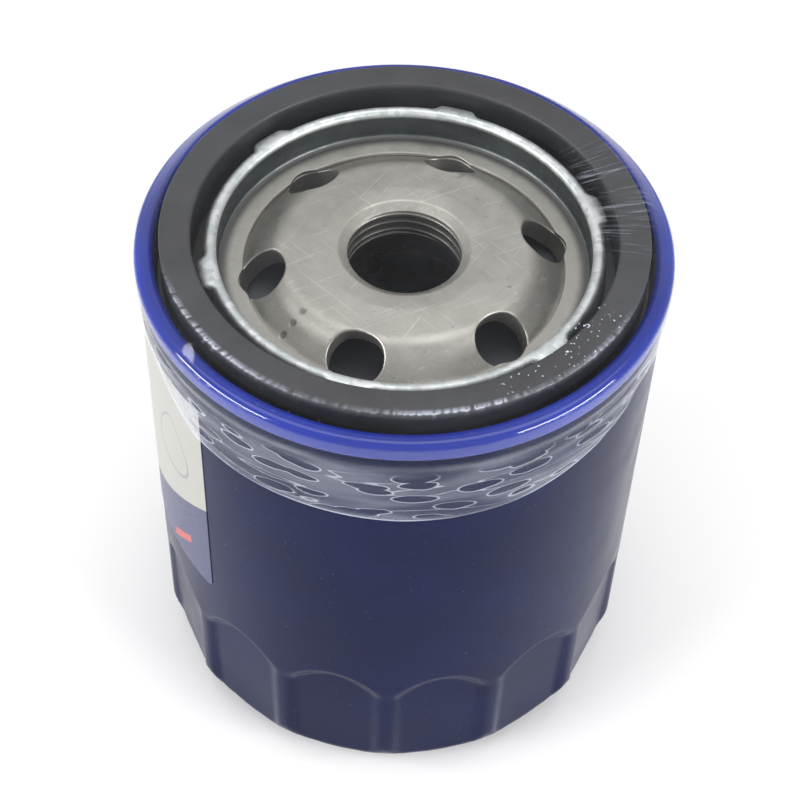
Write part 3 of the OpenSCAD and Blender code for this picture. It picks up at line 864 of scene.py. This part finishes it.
def make_plate():
    columns = PLATE_ARC * INLETS
    start = INLET_ANGLE - 180.0 / INLETS
    angles = ring_angles(columns, start)[None, :]
    thread_top = PLATE_TOP - 1.0
    thread_foot = thread_top - THREAD_LENGTH
    grids = [(inlet_patch(INLET_ANGLE + k * 360.0 / INLETS), False, True) for k in range(INLETS)]

    crown = filleted(
        [
            (PLATE_NEAR, plate_top(PLATE_NEAR)),
            (12.2, plate_top(12.2), 1.5),
            (THREAD_MINOR + 1.3, PLATE_TOP - 0.1, 0.9),
            (THREAD_MINOR + 0.25, thread_top + 0.2, 0.3),
            (THREAD_MINOR, thread_top),
        ],
        closed=False,
        step=8.0,
    )
    bore_z = np.linspace(thread_top, thread_foot, 62)[:, None]
    collar = filleted(
        [
            (THREAD_MINOR, thread_foot),
            (RELIEF_R, thread_foot - 0.5, 0.2),
            (RELIEF_R, COLLAR_END, 0.15),
            (COLLAR_R, COLLAR_END, 0.35),
            (COLLAR_R, PLATE_TOP - 3.9, 1.0),
            (12.4, plate_under(12.4), 0.8),
            (PLATE_NEAR, plate_under(PLATE_NEAR)),
        ],
        closed=False,
    )
    reach = thread_reach(angles, bore_z, thread_top, thread_foot)
    bore = place(reach, angles, bore_z)
    grid = np.concatenate([lathe(crown, angles), bore, lathe(collar, angles)])
    grids.append((grid, False, True))

    flange = filleted(
        [
            (PLATE_FAR, PLATE_UNDER),
            (PLATE_R, PLATE_UNDER, 0.3),
            (PLATE_R, LID_UNDER, 0.3),
            (PLATE_FAR, LID_UNDER),
        ],
        closed=False,
    )
    grids.append((lathe(flange, angles), False, True))
    return mesh_object("threaded_plate", grids, sharp_deg=45.0)


# ------------------------------------------------------------- gasket and label


def make_gasket():
    outline = filleted(
        [
            (GASKET_IN, GROOVE_Z, 0.3),
            (GASKET_OUT, GROOVE_Z, 0.3),
            (GASKET_OUT, GASKET_TOP, 0.4),
            (GASKET_IN, GASKET_TOP, 0.4),
        ]
    )
    grid = lathe(outline, ring_angles(300))
    return mesh_object("square_gasket", [(grid, True, True)], sharp_deg=60.0)


def make_label():
    """A printed sheet with rounded lower corners, wrapped on the can's wall."""
    low, high = cad("label", 0, 2), cad("label", 1, 2)
    columns, rows = 160, 24
    corner = 1.2
    rounded = np.linspace(low, low + corner, 7)[:-1]
    heights = np.concatenate([rounded, np.linspace(low + corner, high, rows)])
    from_foot = np.clip(corner - (heights - low), 0, corner)
    pull = (corner - np.sqrt(corner**2 - from_foot**2)) / (CAN_R * math.pi / 180.0)
    share = np.linspace(0.0, 1.0, columns)[None, :]
    left, right = LABEL_FIRST + pull, LABEL_LAST - pull
    angles = left[:, None] * (1 - share) + right[:, None] * share
    face = place(CAN_R + 0.12, angles, heights[:, None])
    back = place(CAN_R + 0.02, angles, heights[:, None])
    ring = np.concatenate([face, back[:, ::-1]], axis=1)
    caps = [np.stack([face[0], back[0]])[::-1], np.stack([face[-1], back[-1]])]
    grids = [(ring, False, True)] + [(cap, False, False) for cap in caps]
    return mesh_object("printed_label", grids, sharp_deg=50.0)


# ------------------------------------------------------------- the shrink wrap


def skirt_drop(angle):
    """How far below the seam's top the film's hem hangs, all the way round."""
    knots = [
        (-180, 12.0), (-150, 10.5), (-120, 12.5), (-90, 9.5), (-66, 7.8), (-56, 11.0), (-47, 14.2),
        (-33, 15.0), (-20, 15.3), (0, 15.75), (12, 15.7), (22, 15.2), (35, 13.9), (47, 12.0),
        (61, 7.9), (80, 7.4), (105, 9.5), (135, 12.8), (160, 11.5), (180, 12.0),
    ]
    at, drop = zip(*knots)
    return np.interp(angle, at, drop)


def wrap_noise(points, around, along, seed):
    """Smooth noise that joins up round the can, longer round it than along it."""
    flat = points.reshape(-1, 3)
    values = [noise.noise(Vector((p[0] / around + seed, p[1] / around, p[2] / along))) for p in flat]
    return np.array(values).reshape(points.shape[:-1])


def make_wrap():
    columns = 840
    angles = turn_gap(ring_angles(columns), 0.0)[None, :]
    film_top = WRAP_TOP - 0.14
    membrane = [(r, film_top) for r in (0.0, 5.0, 11.0, 17.0, *np.linspace(22.0, 33.6, 15))]
    hug = filleted(
        [
            (33.8, film_top),
            (GASKET_OUT + 0.12, film_top, 0.55),
            (GASKET_OUT + 0.75, film_top - 0.487),
            (GASKET_OUT + 1.4, film_top - 0.99),
            (SEAM_R - 0.75, SEAM_TOP + 0.1, 0.9),
            (SEAM_R + 0.13, SEAM_TOP - 0.35, 0.7),
            (SEAM_R + 0.16, SEAM_TOP - 3.2),
        ],
        closed=False,
        step=9.0,
    )
    head = np.concatenate([np.array(membrane), hug])
    head_grid = lathe(head, angles)

    rows = 72
    start = SEAM_TOP - 3.2
    share = np.linspace(0.0, 1.0, rows + 1)[1:, None]
    z = start - share * (skirt_drop(angles) - 3.2)
    guide = place(CAN_R, angles, z)
    fold = wrap_noise(guide, 16.0, 2.4, 21.0)
    off_seam = smooth(0.02, 0.2, share)
    lift = 0.2 + 0.16 * smooth(-0.3, 0.3, fold) * smooth(0.15, 0.3, share)
    r = (SEAM_R + 0.16) * (1 - off_seam) + (CAN_R + 0.14 + lift) * off_seam
    skirt_grid = place(np.minimum(r, WRAP_R - 0.02), angles, z)
    hem = smooth(0.97, 0.995, share)
    skirt_haze = (0.11 + 0.3 * hem) * smooth(-0.05, 0.16, share)
    skirt_cling = smooth(0.18, 0.32, share) * smooth(1.0, 0.9, share)

    reach = head[:, :1]
    # Painted highlight: a jagged bright line along the front of the gasket's outer edge, laid into the
    # haze.
    front = smooth(74.0, 40.0, np.abs(angles + 4.0))
    jag = wrap_noise(place(30.0, angles * 9.0, 0.0 * reach), 5.0, 2.0, 14.0)
    edge_highlight = np.exp(-(((reach - 34.55 - 0.25 * jag) / 0.14) ** 2)) * front * smooth(-0.4, 0.2, jag)
    head_haze = 0.008 + 0.55 * edge_highlight

    grid = np.concatenate([head_grid, skirt_grid])
    skirt_haze, skirt_cling = np.broadcast_to([skirt_haze, skirt_cling], (2, *skirt_grid.shape[:2]))
    haze = np.concatenate([head_haze, skirt_haze])
    cling = np.concatenate([np.zeros_like(head_haze), skirt_cling])
    grids = [(grid[::-1], False, True)]
    return mesh_object("clear_wrap", grids, sharp_deg=80.0, haze=haze[::-1], cling=cling[::-1])


# ------------------------------------------------------------- the springs


def coil(name, foot_r, head_r, foot_z, head_z, turns, wire):
    """A coil spring of round wire whose end turns lie flat."""
    per_turn, sides = 56, 14
    steps = int(turns * per_turn)
    f = np.linspace(0.0, 1.0, steps + 1)
    dead = 0.75 / turns
    climb = np.clip((f - dead) / (1 - 2 * dead), 0, 1)
    rise = foot_z + wire / 2 + (head_z - foot_z - wire) * climb
    angle = 360.0 * turns * f
    mid = foot_r + (head_r - foot_r) * f
    around = np.radians(np.arange(sides) * 360.0 / sides)
    r = mid[:, None] + wire / 2 * np.cos(around)[None, :]
    z = rise[:, None] + wire / 2 * np.sin(around)[None, :]
    grid = place(r, angle[:, None], z)
    ends = []
    for ring, order in ((grid[0], 1), (grid[-1], -1)):
        middle = np.repeat(ring.mean(axis=0)[None, :], sides, axis=0)
        ends.append((np.stack([middle, ring][::order]), False, True))
    return mesh_object(name, [(grid, False, True)] + ends, sharp_deg=50.0)


def spring(name, node, body, foot_r, head_r, turns, wire):
    """A coil spring that takes the place of a CAD node, with a mesh of its own."""
    foot_z, head_z = cad(node, 0, 2), cad(node, 1, 2)
    obj = coil(name, foot_r, head_r, foot_z, head_z, turns, wire)
    stand_in(obj, node, body, "spring_steel", WIRE)
    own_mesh(obj)


# ------------------------------------------------------------- build


stand_in(make_can(), "can", "housing", "blue_paint", BODY_BLUE)
stand_in(make_lid(), "seaming_lid", "housing", "zinc_steel")
stand_in(make_plate(), "base_plate", "housing", "plate_steel", PLATE)
stand_in(make_gasket(), "sealing_gasket", "housing", "gasket_rubber", GASKET_RUBBER)
stand_in(make_label(), "label", "housing", "label_print", PRINT)
stand_in(make_wrap(), "shrink_wrap", "wrap", "clear_film", FILM)

spring("big_spring", "element_spring", "housing", 16.8, 13.65, turns=4.0, wire=1.6)
spring("small_spring", "bypass_spring", "cartridge", 5.6, 5.6, turns=6.0, wire=0.9)

for node, material in {
    "seam_sealant": SEALANT,
    "lid_welds": WELD,
    "anti_drainback_valve": VALVE_RUBBER,
    "upper_end_cap": TIN,
    "upper_cap_bond": PASTE,
    "pleated_media": PAPER,
    "media_seam_clip": ZINC,
    "centre_tube": TUBE_STEEL,
    "lower_cap_bond": PASTE,
    "lower_end_cap": TIN,
    "bypass_housing": VALVE_STEEL,
    "bypass_seal": VALVE_RUBBER,
    "bypass_disc": VALVE_STEEL,
    "bypass_retainer": VALVE_STEEL,
}.items():
    dress(node, material)


# ------------------------------------------------------------- stage


def make_floor():
    look = Look("floor_white")
    soft = look.noise(3.0, 2.0)
    colour = look.mix(look.band(soft, 0.3, 0.7), rgb(0.86, 0.86, 0.86), rgb(0.89, 0.89, 0.89))
    material = look.finish(Base_Color=colour, Roughness=0.6, Specular_IOR_Level=0.2)
    mesh = bpy.data.meshes.new("floor")
    half = 3.0
    corners = [(-half, -half, 0), (half, -half, 0), (half, half, 0), (-half, half, 0)]
    mesh.from_pydata(corners, [], [(0, 1, 2, 3)])
    mesh.materials.append(material)
    floor = bpy.data.objects.new("floor", mesh)
    bpy.context.scene.collection.objects.link(floor)


def area_light(name, at, aim, width, height, power):
    light = bpy.data.lights.new(name, "AREA")
    light.shape = "RECTANGLE"
    light.size = width
    light.size_y = height
    light.energy = power
    obj = bpy.data.objects.new(name, light)
    obj.location = at
    obj.rotation_euler = (Vector(aim) - Vector(at)).to_track_quat("-Z", "Y").to_euler()
    bpy.context.scene.collection.objects.link(obj)


def make_world():
    world = bpy.data.worlds.new("studio")
    world.use_nodes = True
    sky = world.node_tree.nodes["Background"]
    sky.inputs["Color"].default_value = rgb(1.0, 1.0, 1.0)
    sky.inputs["Strength"].default_value = 0.62
    bpy.context.scene.world = world


def make_camera():
    """Looks down at the filter from above its front, a little rolled."""
    elevation = 49.751
    azimuth = -0.063
    roll = 2.329
    data = bpy.data.cameras.new("camera")
    data.sensor_width = 36.0
    data.lens = 86.46
    camera = bpy.data.objects.new("camera", data)
    turned = (
        Matrix.Rotation(math.radians(azimuth), 4, "Z")
        @ Matrix.Rotation(math.radians(90.0 - elevation), 4, "X")
        @ Matrix.Rotation(math.radians(roll), 4, "Z")
    )
    camera.matrix_world = Matrix.Translation((0.0, -0.19285, 0.27652)) @ turned
    bpy.context.scene.collection.objects.link(camera)
    bpy.context.scene.camera = camera


make_floor()
make_world()
make_camera()
for side, x, y in (("left", -0.44, -0.18), ("right", 0.44, -0.22)):
    area_light(side + "_strip", (x, y, 0.28), (0, 0, 0.08), width=0.36, height=0.08, power=2.3)
area_light("top_box", (0.0, 0.2, 0.9), (0, 0, 0.05), width=0.9, height=0.5, power=2.4)
bpy.context.scene.view_settings.view_transform = "Standard"
